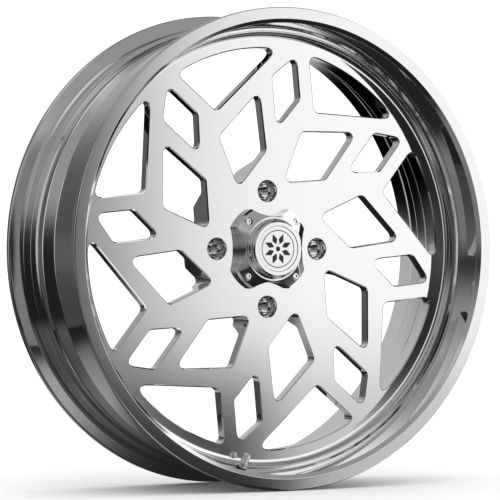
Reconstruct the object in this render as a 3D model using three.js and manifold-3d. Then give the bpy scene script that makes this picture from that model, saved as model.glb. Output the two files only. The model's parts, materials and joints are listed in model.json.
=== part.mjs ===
// Two-piece forged racing wheel rim: a windowed centre bolted from behind into a drop-centre
// barrel, with a screwed-on centre cap and a clamp-in tyre valve.
// Millimetres. The wheel turns about Y, its street side faces -Y and +Z is up. The origin lies on
// the axis, halfway between the two lip faces.

import * as THREE from "three";
import { mergeVertices } from "three/addons/utils/BufferGeometryUtils.js";
import Module from "manifold-3d";

const wasm = await Module();
wasm.setup();

// Rim size.
const beadDiameter = 609.6;
const rimWidth = 177.8;
const flangeHeight = 17.5;
const flangeThickness = 12;
const flangeRound = 3; // at the outer edge on the tyre side
const heelRadius = 5; // flange to bead seat
const offset = 0; // hub pad to the middle of the rim, positive towards the street side

// Barrel.
const lipFaceWidth = 15.6;
const rearLipFaceWidth = 9.5;
const lipWallFrontDrop = 3.4; // bead seat radius down to the lip wall's front edge
const lipWallRearDrop = 5.3; // and to its rear edge
const lipChamfer = 4;
const seatLand = 3.6; // ledge in front of the centre's edge
const beadSeatWidth = 18;
const beadSeatTaper = 1.2;
const humpHeight = 1.6;
const humpRamp = 4;
const humpWidth = 2.5;
const ledgeRamp = 4.5; // hump down to the front ledge
const ledgeDrop = 1.8; // bead seat radius down to the front ledge
const rearSeatRun = 3; // plain seat behind the rear bead
const rearStepRamp = 5;
const rearLedgeDrop = 4.8; // bead seat radius down to the rear ledge
const wellSetback = 20; // join flange to the drop centre
const wellDrop = 15.8; // bead seat radius down to the floor of the drop centre
const wellWidth = 19;
const wellFrontRamp = 8;
const wellRearRamp = 12;
const wellRound = 1.2;
const innerRampSpread = 3; // how much longer the drop centre's ramps run on the inside
const wallThickness = 5.5;
const edgeChamfer = 1.3;

// Wheel centre.
const faceSetback = 61; // front lip face to the centre's face
const plateThickness = 15;
const centreInset = 11.5; // bead seat radius down to the centre's edge
const centreStep = 10; // height of the centre's upturned edge above its face
const edgeFillet = 8.4;
const ringWidth = 22.3; // from the outer windows to the centre's edge
const edgeLand = 1.2; // flat rim of the upturned edge
const hubPadMargin = 30; // pad beyond the lug circle
const bossFlare = 12; // boss root beyond the pad
const hubBoreInset = 12; // bore for the hub's register, inside the lug circle
const hubBoreDepth = 12;
const noseBoreRadius = 36; // clears the axle nut
const pocketRadius = 12;
const pocketOutset = 8; // pockets beyond the lug circle
const pocketDepth = 14;

// Lug holes.
const lugCount = 4;
const lugCircleRadius = 78;
const lugBoreRadius = 7;
const lugMouthRadius = 14.5;
const lugLand = 8;
const lugConeAngle = 60;

// Windows, repeated round the face. A corner is [share of the way from the hub face to the ring,
// degrees round the face].
const windowRepeats = 8;
const windowFillet = 8;
const filletRoom = 0.97; // share of a side that its two fillets may take
const hubFaceMargin = 12; // windows start this far beyond the lug circle
const innerWindow = [[0.43, 71.2], [0.679, 48.4], [0.235, 45.9], [0.022, 73.6]];
const smallWindow = [[0.968, 80.2], [0.659, 75.9], [0.407, 84.7], [0.793, 88]];
const outerWindowCorner = [0.609, 68.2];
const outerWindowSpan = [75.8, 41.5];

// Bolts that join the centre to the barrel, in pairs behind the spoke ends.
const boltInset = 21.3; // bolt circle inside the centre's edge
const boltSpread = 4.8; // degrees between the two bolts of a pair
const boltMiddle = 81.1; // degrees, the middle of the first pair
const boltRadius = 3.5;
const boltHeadRadius = 5.5;
const boltHeadHeight = 7;
const boltReach = 10; // thread inside the centre
const boltSocketWidth = 6;
const boltSocketDepth = 3.5;
const tabWidth = 9; // degrees
const tabSlope = 1.2; // degrees, on each flank of a tab
const tabDepth = 8; // tab beyond the bolt circle
const flangeRingWidth = 21.3;
const joinFlange = 9;

// Centre cap.
const capScallopOut = 17; // centre of a scallop outside the lug circle
const capWaist = 6; // base beyond the body between its lobes
const capCornerInset = 15; // round ends inside the lug circle
const capEdgeHeight = 8;
const capTopHeight = 18;
const capTopLand = 5; // top of the base beyond the body
const capBodyRadius = 38;
const capBodyHeight = 29;
const capBevel = 2.6;
const capShoulder = 3.8; // body's seat on the base, beyond the bore
const capWall = 5;
const capSpigotDepth = 15;
const capScrewInset = 11; // inside the round ends
const capScrewRadius = 2.5;
const capScrewHeadRadius = 4.7;
const capScrewHeadHeight = 3.3;
const capScrewSeat = 10.3;
const capScrewReach = 9;
const capScrewSocketWidth = 4;
const capScrewSocketDepth = 2;
const badgeRim = 7.5; // body round the badge
const badgeThickness = 1.4;
const sealRadius = 1.2;

// Tyre valve. Its own axis leans from the wheel axis towards the hub.
const valveAngle = -98.8; // degrees round the wheel
const valveLean = 60;
const valveAhead = 8; // its axis meets the middle of the wall this far ahead of the face
const valveWallShare = 5.2; // that point's distance outside the centre's edge
const stemRadius = 4;
const stemLength = 26;
const stemTipChamfer = 0.6;
const stemBaseFlange = 2.8; // base beyond the stem
const stemBaseThickness = 1.6;
const valveSeatInside = 3.2; // seat on the tyre side, from the middle of the wall
const valveSeatOutside = 2.5;
const grommetFlange = 2.6; // grommets and washer beyond the stem
const grommetThickness = 1.8;
const washerThickness = 1.2;
const nutWall = 2.25; // stem to the nut's flats
const nutHeight = 3.6;
const valveCapAbove = 1; // cap above the nut
const valveCapWall = 1;
const valveCapChamfer = 0.4;
const valveCapRound = 1.2;
const valveCapTopThickness = 2.8;
const valveSealThickness = 0.8;
const valveSealInset = 0.2; // seal inside the stem's rim
const coreRadius = 2.2;
const coreDepth = 6; // core body below the stem's tip
const coreLength = 8;
const coreCupRadius = 1.9;
const coreCupLength = 2.4;
const corePinRadius = 0.8;
const pinSunk = 0.4; // pin below the stem's tip
const pinTravel = 1.5;
const pinRoom = 1; // left below the pressed pin
const pinButtonRadius = 1.8;
const pinButtonHeight = 1;
const coreSpringRadius = 1.5;
const throatRadius = 1.6; // air way through the stem

// Clearances.
const seatGap = 0.3; // between touching pieces
const threadGap = 0.4; // round every screw and bolt
const spotGap = 0.7; // round a head, nut or washer in its recess
const overshoot = 1; // of a cutter past the face that it opens
const valveCutReach = 20; // of the valve's cutters, past the barrel wall

// Facets.
const wheelFacets = 48;
const holeFacets = 16;
const smallFacets = 12;
const filletFacets = 3;
const sealSides = 8;
const outerWindowSteps = 6;

// Worked out from the sizes above.
const beadRadius = beadDiameter / 2;
const flangeRadius = beadRadius + flangeHeight;
const centreRadius = beadRadius - centreInset;
const overallWidth = rimWidth + 2 * flangeThickness;
const frontY = -overallWidth / 2;
const faceY = frontY + faceSetback;
const plateBackY = faceY + plateThickness;
const padY = -offset;
const edgeY = faceY - centreStep;
const ringRadius = centreRadius - ringWidth;
const boltCircle = centreRadius - boltInset;
const seatRadius = centreRadius + seatGap;
const joinFrontY = plateBackY + seatGap;
const joinBackY = joinFrontY + joinFlange;
const wellStart = joinBackY + wellSetback;
const wellEnd = wellStart + wellWidth;
const wellRadius = beadRadius - wellDrop;
const ledgeRadius = beadRadius - ledgeDrop;
const rearLedgeRadius = beadRadius - rearLedgeDrop;
const seatEndRadius = beadRadius - beadSeatTaper;
const seatDepth = flangeThickness + heelRadius + beadSeatWidth; // lip face to the seat's end
const rearSeatDepth = seatDepth + rearSeatRun;
const hubFaceRadius = lugCircleRadius + hubFaceMargin;
const hubPadRadius = lugCircleRadius + hubPadMargin;
const capScallopCircle = lugCircleRadius + capScallopOut;
const capScallopRadius = capScallopCircle - capBodyRadius - capWaist;
const capCornerRadius = lugCircleRadius - capCornerInset;
const capScrewCircle = capCornerRadius - capScrewInset;
const capTopRadius = capBodyRadius + capTopLand;
const capBoreRadius = capBodyRadius - capShoulder;
const badgeRadius = capBodyRadius - badgeRim;
const stemBaseRadius = stemRadius + stemBaseFlange;
const grommetRadius = stemRadius + grommetFlange;
const nutWidth = 2 * (stemRadius + nutWall);
const turn = 2 * Math.PI;

function radians(degrees) {
  return (degrees * Math.PI) / 180;
}

// A point of the front view, X right and Z up.
function polar(radius, degrees) {
  return new THREE.Vector2(
    radius * Math.cos(radians(degrees)),
    radius * Math.sin(radians(degrees)),
  );
}

// Solid helpers.

function toSolid(geometry) {
  const bare = geometry.clone();
  bare.deleteAttribute("normal");
  bare.deleteAttribute("uv");
  const merged = mergeVertices(bare, 1e-4);
  const corners = merged.index.array;
  const kept = [];
  for (let i = 0; i < corners.length; i += 3) {
    const [a, b, c] = [corners[i], corners[i + 1], corners[i + 2]];
    if (a !== b && b !== c && c !== a) kept.push(a, b, c);
  }
  const mesh = new wasm.Mesh({
    numProp: 3,
    vertProperties: merged.attributes.position.array,
    triVerts: new Uint32Array(kept),
  });
  return new wasm.Manifold(mesh);
}

function toGeometry(solid) {
  const mesh = solid.getMesh();
  const geometry = new THREE.BufferGeometry();
  geometry.setAttribute("position", new THREE.BufferAttribute(mesh.vertProperties, 3));
  geometry.setIndex(new THREE.BufferAttribute(mesh.triVerts, 1));
  geometry.computeVertexNormals();
  return geometry;
}

function cut(solid, cutters) {
  return cutters.reduce((left, cutter) => left.subtract(cutter), solid);
}

// A ring or disc turned about Y from a profile of [radius, y] points, outer side rising.
function turned(profile, facets = wheelFacets) {
  const points = profile.map(([radius, y]) => new THREE.Vector2(radius, y));
  if (profile[0][0] > 0) points.push(points[0].clone());
  return new THREE.LatheGeometry(points, facets);
}

function disc(radius, lowY, highY, facets = holeFacets) {
  return turned([[0, lowY], [radius, lowY], [radius, highY], [0, highY]], facets);
}

function tube(inner, outer, lowY, highY, facets = holeFacets) {
  return turned([[inner, lowY], [outer, lowY], [outer, highY], [inner, highY]], facets);
}

// A front-view outline extruded along Y.
function prism(shape, lowY, highY, curveSegments = filletFacets) {
  const geometry = new THREE.ExtrudeGeometry(shape, {
    depth: highY - lowY,
    bevelEnabled: false,
    curveSegments,
  });
  return geometry.rotateX(Math.PI / 2).translate(0, highY, 0);
}

function moved(geometry, point) {
  return geometry.translate(point.x, 0, point.y);
}

function hexagon(width) {
  const shape = new THREE.Shape();
  const corner = width / Math.sqrt(3);
  for (let i = 0; i < 6; i++) {
    const point = polar(corner, 60 * i);
    if (i === 0) shape.moveTo(point.x, point.y);
    else shape.lineTo(point.x, point.y);
  }
  shape.closePath();
  return shape;
}

// Points round an arc of a profile, from one angle to another in degrees.
function arcPoints(centreR, centreY, radius, from, to, steps = filletFacets) {
  const points = [];
  for (let i = 0; i <= steps; i++) {
    const angle = radians(from + ((to - from) * i) / steps);
    points.push([centreR + radius * Math.cos(angle), centreY + radius * Math.sin(angle)]);
  }
  return points;
}

// How far from a corner its fillet starts.
function filletStart(corners, i) {
  const { point, fillet } = corners[i];
  const before = corners.at(i - 1).point.clone().sub(point);
  const after = corners[(i + 1) % corners.length].point.clone().sub(point);
  return fillet / Math.tan(before.angleTo(after) / 2);
}

// The share of its fillets that an outline's sides have room for.
function filletShare(corners) {
  const shares = corners.map(({ point }, i) => {
    const next = (i + 1) % corners.length;
    const needed = filletStart(corners, i) + filletStart(corners, next);
    const side = point.distanceTo(corners[next].point);
    return needed > 0 ? (side * filletRoom) / needed : 1;
  });
  return Math.min(1, ...shares);
}

// A closed outline through the corners, each rounded by its own fillet.
function filleted(corners) {
  const shape = new THREE.Shape();
  const share = filletShare(corners);
  corners.forEach((corner, i) => {
    const { point } = corner;
    const fillet = corner.fillet * share;
    const before = corners.at(i - 1).point.clone().sub(point).normalize();
    const after = corners[(i + 1) % corners.length].point.clone().sub(point).normalize();
    if (fillet === 0) {
      if (i === 0) shape.moveTo(point.x, point.y);
      else shape.lineTo(point.x, point.y);
      return;
    }
    const half = Math.acos(before.dot(after)) / 2;
    const start = point.clone().addScaledVector(before, fillet / Math.tan(half));
    const middle = before.clone().add(after).normalize();
    const centre = point.clone().addScaledVector(middle, fillet / Math.sin(half));
    const end = point.clone().addScaledVector(after, fillet / Math.tan(half));
    const from = Math.atan2(start.y - centre.y, start.x - centre.x);
    const to = Math.atan2(end.y - centre.y, end.x - centre.x);
    if (i === 0) shape.moveTo(start.x, start.y);
    else shape.lineTo(start.x, start.y);
    shape.absarc(centre.x, centre.y, fillet, from, to, before.cross(after) > 0);
  });
  shape.closePath();
  return shape;
}

// Wheel centre.

function windowCorner([share, degrees], turnedBy) {
  const radius = hubFaceRadius + share * (ringRadius - hubFaceRadius);
  return { point: polar(radius, degrees + turnedBy), fillet: windowFillet };
}

function diamondWindow(corners, turnedBy) {
  return filleted(corners.map((corner) => windowCorner(corner, turnedBy)));
}

function outerWindow(turnedBy) {
  const [from, to] = outerWindowSpan;
  const corners = [windowCorner(outerWindowCorner, turnedBy)];
  for (let i = 0; i <= outerWindowSteps; i++) {
    const degrees = from + ((to - from) * i) / outerWindowSteps;
    const isEnd = i === 0 || i === outerWindowSteps;
    corners.push({
      point: polar(ringRadius, degrees + turnedBy),
      fillet: isEnd ? windowFillet : 0,
    });
  }
  return filleted(corners);
}

function windowCutters() {
  const cutters = [];
  for (let i = 0; i < windowRepeats; i++) {
    const turnedBy = (360 * i) / windowRepeats;
    const outlines = [
      diamondWindow(innerWindow, turnedBy),
      diamondWindow(smallWindow, turnedBy),
      outerWindow(turnedBy),
    ];
    for (const outline of outlines) cutters.push(toSolid(prism(outline, frontY, -frontY)));
  }
  return cutters;
}

function lugCutters() {
  const coneDepth = (lugMouthRadius - lugBoreRadius) / Math.tan(radians(lugConeAngle / 2));
  const coneEnd = padY - lugLand;
  const profile = [
    [0, frontY],
    [lugMouthRadius, frontY],
    [lugMouthRadius, coneEnd - coneDepth],
    [lugBoreRadius, coneEnd],
    [lugBoreRadius, -frontY],
    [0, -frontY],
  ];
  return lugPlaces().map((place) => toSolid(moved(turned(profile, holeFacets), place)));
}

function lugPlaces() {
  return Array.from({ length: lugCount }, (_, i) => polar(lugCircleRadius, (360 * i) / lugCount));
}

function betweenLugs(radius) {
  return Array.from({ length: lugCount }, (_, i) => polar(radius, (360 * (i + 0.5)) / lugCount));
}

function boltPlaces() {
  const places = [];
  for (let i = 0; i < windowRepeats; i++) {
    const middle = boltMiddle + (360 * i) / windowRepeats;
    places.push(polar(boltCircle, middle - boltSpread / 2));
    places.push(polar(boltCircle, middle + boltSpread / 2));
  }
  return places;
}

function wheelCentre() {
  const filletR = centreRadius - edgeLand - edgeFillet;
  const bossFrontY = padY - hubBoreDepth;
  const hubBoreRadius = lugCircleRadius - hubBoreInset;
  const pocketCircle = lugCircleRadius + pocketOutset;
  const profile = [
    [noseBoreRadius, faceY],
    ...arcPoints(filletR, faceY - edgeFillet, edgeFillet, 90, 0),
    [filletR + edgeFillet, edgeY],
    [centreRadius, edgeY],
    [centreRadius, plateBackY],
    [hubPadRadius + bossFlare, plateBackY],
    [hubPadRadius, padY],
    [hubBoreRadius, padY],
    [hubBoreRadius, bossFrontY],
    [noseBoreRadius, bossFrontY],
  ];
  const pocket = () => disc(pocketRadius, padY - pocketDepth, -frontY);
  const screwHole = () =>
    disc(capScrewRadius + threadGap, frontY, faceY + capScrewReach + seatGap, smallFacets);
  const boltHole = () =>
    disc(boltRadius + threadGap, plateBackY - boltReach - seatGap, -frontY, smallFacets);
  const cutters = [
    ...windowCutters(),
    ...lugCutters(),
    ...betweenLugs(pocketCircle).map((place) => toSolid(moved(pocket(), place))),
    ...betweenLugs(capScrewCircle).map((place) => toSolid(moved(screwHole(), place))),
    ...boltPlaces().map((place) => toSolid(moved(boltHole(), place))),
    valveRecess(valveSeatOutside),
  ];
  return cut(toSolid(turned(profile)), cutters);
}

// Barrel.

// The tyre side of a lip, from its face inwards, as [radius, distance from the lip face].
function lipOutside() {
  return [
    [flangeRadius - edgeChamfer, 0],
    [flangeRadius, edgeChamfer],
    [flangeRadius, flangeThickness - flangeRound],
    [flangeRadius - flangeRound, flangeThickness],
    ...arcPoints(beadRadius + heelRadius, flangeThickness + heelRadius, heelRadius, 270, 180),
    [seatEndRadius, seatDepth],
  ];
}

function frontBarrelOutside() {
  const humpStart = seatDepth + humpRamp;
  return [
    ...lipOutside(),
    [seatEndRadius + humpHeight, humpStart],
    [seatEndRadius + humpHeight, humpStart + humpWidth],
    [ledgeRadius, humpStart + humpWidth + ledgeRamp],
  ].map(([radius, depth]) => [radius, frontY + depth]);
}

function rearBarrelOutside() {
  return [
    ...lipOutside(),
    [seatEndRadius, rearSeatDepth],
    [rearLedgeRadius, rearSeatDepth + rearStepRamp],
  ]
    .map(([radius, depth]) => [radius, -frontY - depth])
    .reverse();
}

function barrelOutside() {
  return [
    ...frontBarrelOutside(),
    [ledgeRadius, wellStart - wellFrontRamp],
    [wellRadius + wellRound, wellStart - wellRound],
    [wellRadius, wellStart + wellRound],
    [wellRadius, wellEnd - wellRound],
    [wellRadius + wellRound, wellEnd + wellRound],
    [rearLedgeRadius, wellEnd + wellRearRamp],
    ...rearBarrelOutside(),
  ];
}

function barrelInside() {
  const wellInside = wellRadius - wallThickness;
  const rearInside = rearLedgeRadius - wallThickness;
  const joinInside = ledgeRadius - wallThickness;
  const joinMiddleY = joinFrontY + joinFlange / 2;
  return [
    [flangeRadius - rearLipFaceWidth, -frontY],
    [beadRadius - wallThickness, -frontY - flangeThickness / 2],
    [seatEndRadius - wallThickness, -frontY - rearSeatDepth],
    [rearInside, -frontY - rearSeatDepth - rearStepRamp],
    [rearInside, wellEnd + wellRearRamp + innerRampSpread],
    [wellInside, wellEnd + wellRound],
    [wellInside, wellStart - wellRound],
    [joinInside, wellStart - wellFrontRamp - innerRampSpread],
    [joinInside, joinMiddleY],
    [seatRadius, joinMiddleY],
    [seatRadius, edgeY],
    [seatRadius + seatLand, edgeY],
    [beadRadius - lipWallRearDrop, edgeY - lipChamfer],
    [beadRadius - lipWallFrontDrop, frontY + lipChamfer],
    [flangeRadius - lipFaceWidth, frontY],
  ];
}

// The flange that the centre bolts to: a ring with a tab at each pair of bolts.
function joinFlangeSolid() {
  const shape = new THREE.Shape();
  shape.absarc(0, 0, (seatRadius + ledgeRadius) / 2, 0, turn, false);
  const opening = new THREE.Path();
  const tabRadius = boltCircle - tabDepth;
  const pitch = 360 / windowRepeats;
  for (let i = 0; i < windowRepeats; i++) {
    const middle = boltMiddle + pitch * i;
    const tabEnd = middle + tabWidth / 2;
    const nextTab = middle + pitch - tabWidth / 2;
    opening.absarc(0, 0, tabRadius, radians(middle - tabWidth / 2), radians(tabEnd), false);
    opening.absarc(
      0,
      0,
      centreRadius - flangeRingWidth,
      radians(tabEnd + tabSlope),
      radians(nextTab - tabSlope),
      false,
    );
  }
  opening.closePath();
  shape.holes.push(opening);
  return toSolid(prism(shape, joinFrontY, joinBackY, wheelFacets / windowRepeats));
}

function rimBarrel() {
  const body = toSolid(turned([...barrelOutside(), ...barrelInside()]));
  const boltHole = () => disc(boltRadius + threadGap, frontY, -frontY, smallFacets);
  const cutters = [
    ...boltPlaces().map((place) => toSolid(moved(boltHole(), place))),
    valveHole(),
    valveRecess(valveSeatOutside),
    valvePocket(),
  ];
  return cut(body.add(joinFlangeSolid()), cutters);
}

function assemblyBolt() {
  const headY = joinBackY + seatGap;
  const endY = headY + boltHeadHeight;
  const socket = toSolid(
    prism(hexagon(boltSocketWidth), endY - boltSocketDepth, endY + overshoot),
  );
  const profile = [
    [0, plateBackY - boltReach],
    [boltRadius, plateBackY - boltReach],
    [boltRadius, headY],
    [boltHeadRadius, headY],
    [boltHeadRadius, endY],
    [0, endY],
  ];
  return toSolid(turned(profile, smallFacets)).subtract(socket);
}

// Centre cap. Heights are measured from the centre's face towards the street side.

function heights(profile) {
  return profile.map(([radius, height]) => [radius, faceY - height]);
}

// Four lobes between the lug holes, with round ends and a scallop at each lug.
function capOutline() {
  const shape = new THREE.Shape();
  const [far, near, round] = [capScallopCircle, capCornerRadius, capScallopRadius];
  const lobeStart = Math.acos((far * far + near * near - round * round) / (2 * far * near));
  const scallopHalf = Math.acos((far * far + round * round - near * near) / (2 * far * round));
  const quarter = turn / lugCount;
  for (let i = 0; i < lugCount; i++) {
    const lug = quarter * i;
    const inward = lug + Math.PI;
    const [x, y] = [far * Math.cos(lug), far * Math.sin(lug)];
    shape.absarc(x, y, round, inward + scallopHalf, inward - scallopHalf, true);
    shape.absarc(0, 0, near, lug + lobeStart, lug + quarter - lobeStart, false);
  }
  shape.closePath();
  return shape;
}

function capBase() {
  const cone = toSolid(
    turned(
      heights([
        [capBoreRadius, seatGap],
        [capBoreRadius, capTopHeight],
        [capTopRadius, capTopHeight],
        [capCornerRadius, capEdgeHeight],
        [capCornerRadius + overshoot, capEdgeHeight],
        [capCornerRadius + overshoot, seatGap],
      ]),
      wheelFacets / 2,
    ),
  );
  const topY = faceY - capTopHeight - overshoot;
  const outline = toSolid(prism(capOutline(), topY, faceY, filletFacets * 2));
  const hole = () => disc(capScrewRadius + threadGap, frontY, faceY, smallFacets);
  const seat = () =>
    disc(capScrewHeadRadius + spotGap, frontY, faceY - capScrewSeat, smallFacets);
  const cutters = betweenLugs(capScrewCircle).flatMap((place) => [
    toSolid(moved(hole(), place)),
    toSolid(moved(seat(), place)),
  ]);
  return cut(cone.intersect(outline), cutters);
}

function capBody() {
  const spigot = capBoreRadius - threadGap;
  const hollow = spigot - capWall;
  const shoulder = capTopHeight + seatGap;
  const grooveFloor = capBoreRadius - 2 * sealRadius - seatGap - threadGap;
  const grooveY = capTopHeight - capSpigotDepth / 2;
  const grooveHalf = sealRadius + threadGap;
  const badgeSeat = capBodyHeight - badgeThickness - seatGap;
  return turned(
    heights([
      [0, badgeSeat],
      [badgeRadius + threadGap, badgeSeat],
      [badgeRadius + threadGap, capBodyHeight],
      [capBodyRadius - capBevel, capBodyHeight],
      [capBodyRadius, capBodyHeight - capBevel],
      [capBodyRadius, shoulder],
      [spigot, shoulder],
      [spigot, grooveY + grooveHalf],
      [grooveFloor, grooveY + grooveHalf],
      [grooveFloor, grooveY - grooveHalf],
      [spigot, grooveY - grooveHalf],
      [spigot, capTopHeight - capSpigotDepth],
      [hollow, capTopHeight - capSpigotDepth],
      [hollow, badgeSeat - capWall],
      [0, badgeSeat - capWall],
    ]),
    wheelFacets / 2,
  );
}

function capSeal() {
  const middle = capBoreRadius - sealRadius - seatGap;
  const y = faceY - capTopHeight + capSpigotDepth / 2;
  const lastAngle = 360 - 360 / sealSides;
  return turned(arcPoints(middle, y, sealRadius, 0, lastAngle, sealSides - 1), wheelFacets / 2);
}

function capBadge() {
  const top = faceY - capBodyHeight;
  return disc(badgeRadius, top, top + badgeThickness, wheelFacets / 2);
}

function capScrew() {
  const seatY = faceY - capScrewSeat - seatGap;
  const topY = seatY - capScrewHeadHeight;
  const endY = faceY + capScrewReach;
  const profile = [
    [0, topY],
    [capScrewHeadRadius, topY],
    [capScrewHeadRadius, seatY],
    [capScrewRadius, seatY],
    [capScrewRadius, endY],
    [0, endY],
  ];
  const socket = toSolid(
    prism(hexagon(capScrewSocketWidth), topY - overshoot, topY + capScrewSocketDepth),
  );
  return toSolid(turned(profile, smallFacets)).subtract(socket);
}

// Tyre valve, in its own frame: local Y runs along its axis, out of the tyre.

function valveFrame() {
  const place = polar(centreRadius + valveWallShare, valveAngle);
  const outwards = polar(1, valveAngle);
  const lean = radians(valveLean);
  const axis = new THREE.Vector3(
    -Math.sin(lean) * outwards.x,
    -Math.cos(lean),
    -Math.sin(lean) * outwards.y,
  );
  const side = new THREE.Vector3(-outwards.y, 0, outwards.x);
  const frame = new THREE.Matrix4().makeBasis(side, axis, side.clone().cross(axis));
  return frame.setPosition(place.x, faceY - valveAhead, place.y);
}

function valveHole() {
  const hole = disc(stemRadius + threadGap, -valveCutReach, valveCutReach, smallFacets);
  return toSolid(hole.applyMatrix4(valveFrame()));
}

// Room for the nut on the street side, cut into the barrel and the centre's edge alike.
function valveRecess(seat) {
  const recess = disc(nutWidth / Math.sqrt(3) + spotGap, seat, valveCutReach);
  return toSolid(recess.applyMatrix4(valveFrame()));
}

function valvePocket() {
  const pocket = disc(stemBaseRadius + spotGap, -valveCutReach, -valveSeatInside);
  return toSolid(pocket.applyMatrix4(valveFrame()));
}

// Where each valve piece starts and ends along the axis.
const innerGrommetTop = -valveSeatInside - seatGap;
const stemBaseTop = innerGrommetTop - grommetThickness - seatGap;
const stemBottom = stemBaseTop - stemBaseThickness;
const stemTop = stemBottom + stemLength;
const outerGrommetLow = valveSeatOutside + seatGap;
const washerLow = outerGrommetLow + grommetThickness + seatGap;
const nutLow = washerLow + washerThickness + seatGap;
const valveCapLow = nutLow + nutHeight + valveCapAbove;
const valveSealLow = stemTop + seatGap;
const valveCapFloor = valveSealLow + valveSealThickness + seatGap;
const valveCapTop = valveCapFloor + valveCapTopThickness;
const coreHigh = stemTop - coreDepth;
const coreLow = coreHigh - coreLength;
const cupHigh = coreLow - seatGap;
const cupLow = cupHigh - coreCupLength;
const pinTop = stemTop - pinSunk;
const buttonLow = pinTop - pinButtonHeight;

function ringPiece(outer, low, thickness) {
  return tube(stemRadius + threadGap, outer, low, low + thickness);
}

function valveStem() {
  const bore = coreRadius + threadGap;
  const cupBore = coreCupRadius + threadGap;
  const cupBoreEnd = cupLow - pinTravel - pinRoom;
  return turned(
    [
      [throatRadius, stemBottom],
      [stemBaseRadius, stemBottom],
      [stemBaseRadius, stemBaseTop],
      [stemRadius, stemBaseTop],
      [stemRadius, stemTop - stemTipChamfer],
      [stemRadius - stemTipChamfer, stemTop],
      [bore, stemTop],
      [bore, cupHigh],
      [cupBore, cupHigh],
      [cupBore, cupBoreEnd],
      [throatRadius, cupBoreEnd - (cupBore - throatRadius)],
    ],
    holeFacets,
  );
}

function valveNut() {
  const body = toSolid(prism(hexagon(nutWidth), nutLow, nutLow + nutHeight));
  const bore = disc(stemRadius + threadGap, nutLow - overshoot, nutLow + nutHeight + overshoot);
  return body.subtract(toSolid(bore));
}

function valveCoreBody() {
  return tube(corePinRadius + threadGap, coreRadius, coreLow, coreHigh, smallFacets);
}

// The pin hangs a sealing cup below the core body and a button above it.
function valveCorePin() {
  return turned(
    [
      [0, cupLow],
      [coreCupRadius, cupLow],
      [coreCupRadius, cupHigh],
      [corePinRadius, cupHigh],
      [corePinRadius, buttonLow],
      [pinButtonRadius, buttonLow],
      [pinButtonRadius, pinTop],
      [0, pinTop],
    ],
    smallFacets,
  );
}

function valveCoreSpring() {
  const low = coreHigh + seatGap;
  return tube(corePinRadius + seatGap, coreSpringRadius, low, buttonLow - seatGap, smallFacets);
}

function valveCap() {
  const bore = stemRadius + threadGap;
  const outer = bore + valveCapWall;
  return turned(
    [
      [bore, valveCapLow],
      [outer - valveCapChamfer, valveCapLow],
      [outer, valveCapLow + valveCapChamfer],
      [outer, valveCapTop - valveCapRound],
      [outer - valveCapRound, valveCapTop],
      [0, valveCapTop],
      [0, valveCapFloor],
      [bore, valveCapFloor],
    ],
    holeFacets,
  );
}

function valveCapSeal() {
  const inner = coreRadius + threadGap + valveSealInset;
  const high = valveSealLow + valveSealThickness;
  return tube(inner, stemRadius - valveSealInset, valveSealLow, high);
}

// Materials.

function metal(color, roughness) {
  return new THREE.MeshStandardMaterial({ color, metalness: 1, roughness });
}

function rubber() {
  return new THREE.MeshStandardMaterial({ color: 0x1b1b1c, metalness: 0, roughness: 0.7 });
}

const polished = metal(0xdfe1e3, 0.08);
const chrome = metal(0xe6e8ea, 0.05);
const steel = metal(0x8f9296, 0.35);
const brass = metal(0xc6a254, 0.3);
const blackRubber = rubber();

// Assembly.

const wheel = new THREE.Group();
const valve = new THREE.Group();
valve.applyMatrix4(valveFrame());
wheel.add(valve);

function place(group, name, shape, material, point = new THREE.Vector2()) {
  const geometry = shape.isBufferGeometry ? shape : toGeometry(shape);
  const mesh = new THREE.Mesh(geometry, material);
  mesh.name = name;
  mesh.position.set(point.x, 0, point.y);
  group.add(mesh);
}

place(wheel, "rim_barrel", rimBarrel(), polished);
place(wheel, "wheel_centre", wheelCentre(), polished);
boltPlaces().forEach((point, i) => {
  const number = String(i + 1).padStart(2, "0");
  place(wheel, `assembly_bolt_${number}`, assemblyBolt(), steel, point);
});

place(wheel, "cap_base", capBase(), chrome);
place(wheel, "cap_body", capBody(), chrome);
place(wheel, "cap_badge", capBadge(), polished);
place(wheel, "cap_seal", capSeal(), blackRubber);
betweenLugs(capScrewCircle).forEach((point, i) => {
  place(wheel, `cap_screw_${i + 1}`, capScrew(), chrome, point);
});

place(valve, "valve_stem", valveStem(), chrome);
place(valve, "valve_inner_grommet", ringPiece(grommetRadius, innerGrommetTop - grommetThickness,
  grommetThickness), blackRubber);
place(valve, "valve_outer_grommet", ringPiece(grommetRadius, outerGrommetLow,
  grommetThickness), blackRubber);
place(valve, "valve_washer", ringPiece(grommetRadius, washerLow, washerThickness), chrome);
place(valve, "valve_nut", valveNut(), chrome);
place(valve, "valve_core_body", valveCoreBody(), brass);
place(valve, "valve_core_pin", valveCorePin(), brass);
place(valve, "valve_core_spring", valveCoreSpring(), steel);
place(valve, "valve_cap", valveCap(), chrome);
place(valve, "valve_cap_seal", valveCapSeal(), blackRubber);

export default wheel;
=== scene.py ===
# Two-piece forged racing wheel rim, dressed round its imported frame.
# The wheel turns about Y, its street side faces -Y and +Z is up. Sizes are in millimetres
# and become metres as they reach a mesh.

import json
import math

import bmesh
import bpy
from mathutils import Matrix, Vector


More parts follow.
